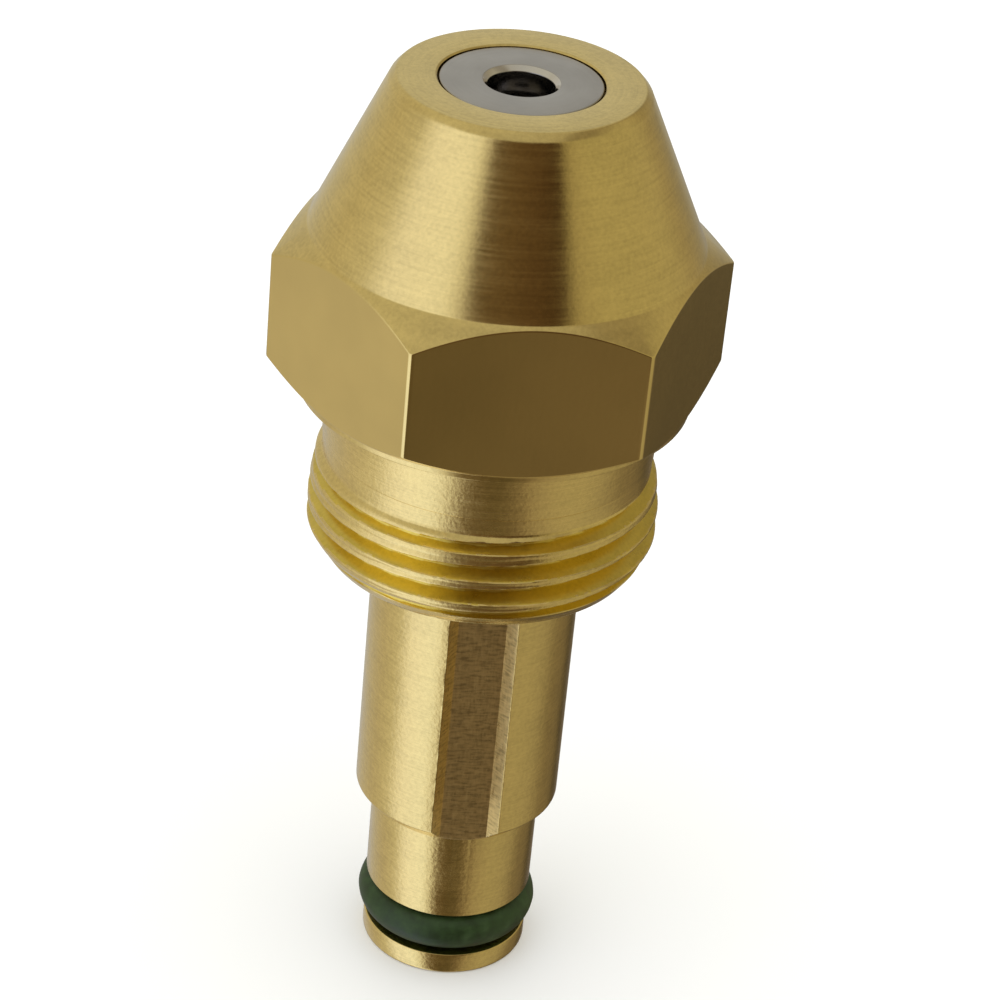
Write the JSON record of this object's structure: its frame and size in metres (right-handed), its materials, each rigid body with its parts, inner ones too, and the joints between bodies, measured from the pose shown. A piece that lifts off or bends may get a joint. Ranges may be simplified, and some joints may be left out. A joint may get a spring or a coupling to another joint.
{
  "type": "oil burner nozzle",
  "caption": "Air-atomising oil burner nozzle: hexagonal brass body with a conical nose and pressed orifice insert, screwed over a fluted oil stem sealed by a rubber ring.",
  "frame": {"origin": "on the nozzle axis, at the oil inlet end face of the stem", "axes": "+Z along the nozzle axis, out of the spray orifice; two flats of the wrench hexagon face -Y and +Y"},
  "size_m": [0.0182, 0.0158, 0.0404],
  "materials": {
    "turned_brass": "satin turned",
    "stem_brass": "satin turned, milled grooves",
    "insert_steel": "satin faced",
    "swirler_steel": "fine turned",
    "seal_rubber": "matte dark green"
  },
  "bodies": {
    "nozzle": {"nozzle_body": "turned_brass", "orifice_insert": "insert_steel"},
    "swirler": {"air_swirler": "swirler_steel"},
    "stem": {"oil_stem": "stem_brass", "o_ring": "seal_rubber"}
  },
  "joints": [
    {"name": "swirler_slide", "type": "slide", "parent": "nozzle", "child": "swirler", "axis": [0, 0, 1], "range_m": [-0.005, 0]},
    {"name": "stem_screw", "type": "hinge", "parent": "swirler", "child": "stem", "pos_m": [0, 0, 0], "axis": [0, 0, 1], "range_deg": [-1800, 0]}
  ],
  "couplings": [
    {"joint": "swirler_slide", "follows": "stem_screw", "m_per_rad": 0.00015915}
  ]
}
